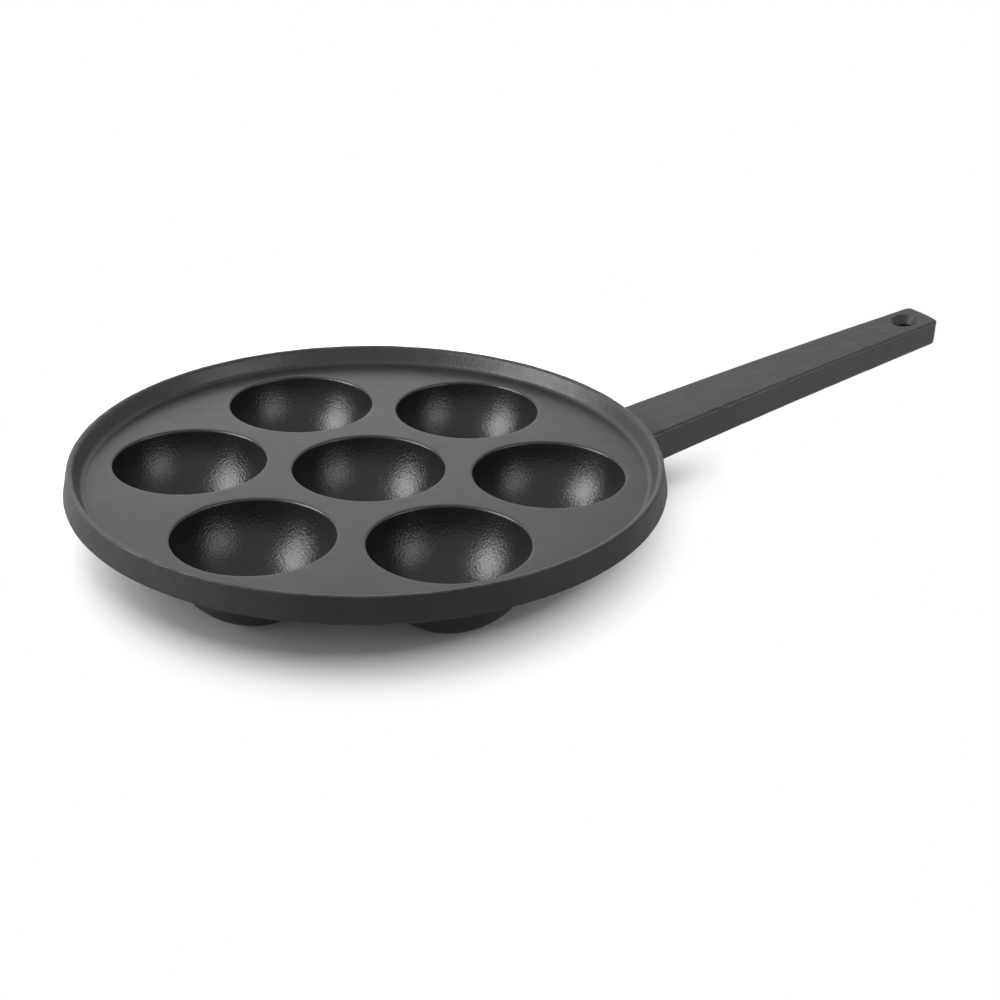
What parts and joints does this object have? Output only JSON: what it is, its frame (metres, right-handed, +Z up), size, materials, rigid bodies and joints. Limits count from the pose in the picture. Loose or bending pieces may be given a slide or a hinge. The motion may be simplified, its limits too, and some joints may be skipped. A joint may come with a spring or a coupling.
{
  "type": "aebleskiver pan",
  "caption": "Black cast iron pan with round cups set in a flat plate, a low raised rim and a flat tapering handle with a countersunk hole to hang it by.",
  "frame": {"origin": "on the table, at the middle of the centre cup's flat foot", "axes": "+X along the handle, away from the plate; +Z up, out of the cups' mouths; +Y to the left of someone who looks along the handle from the plate"},
  "size_m": [0.3883, 0.2296, 0.0526],
  "materials": {
    "seasoned_iron": "black seasoned cast iron with a soft satin sheen and a fine sand-cast grain",
    "cup_iron": "black seasoned cast iron, a little smoother and glossier inside the cups"
  },
  "bodies": {
    "root": {"plate": "seasoned_iron", "rim": "seasoned_iron", "cup_centre": "cup_iron", "cup_1": "cup_iron", "cup_2": "cup_iron", "cup_3": "cup_iron", "cup_4": "cup_iron", "cup_5": "cup_iron", "cup_6": "cup_iron", "handle_root": "seasoned_iron", "handle": "seasoned_iron"}
  },
  "joints": []
}
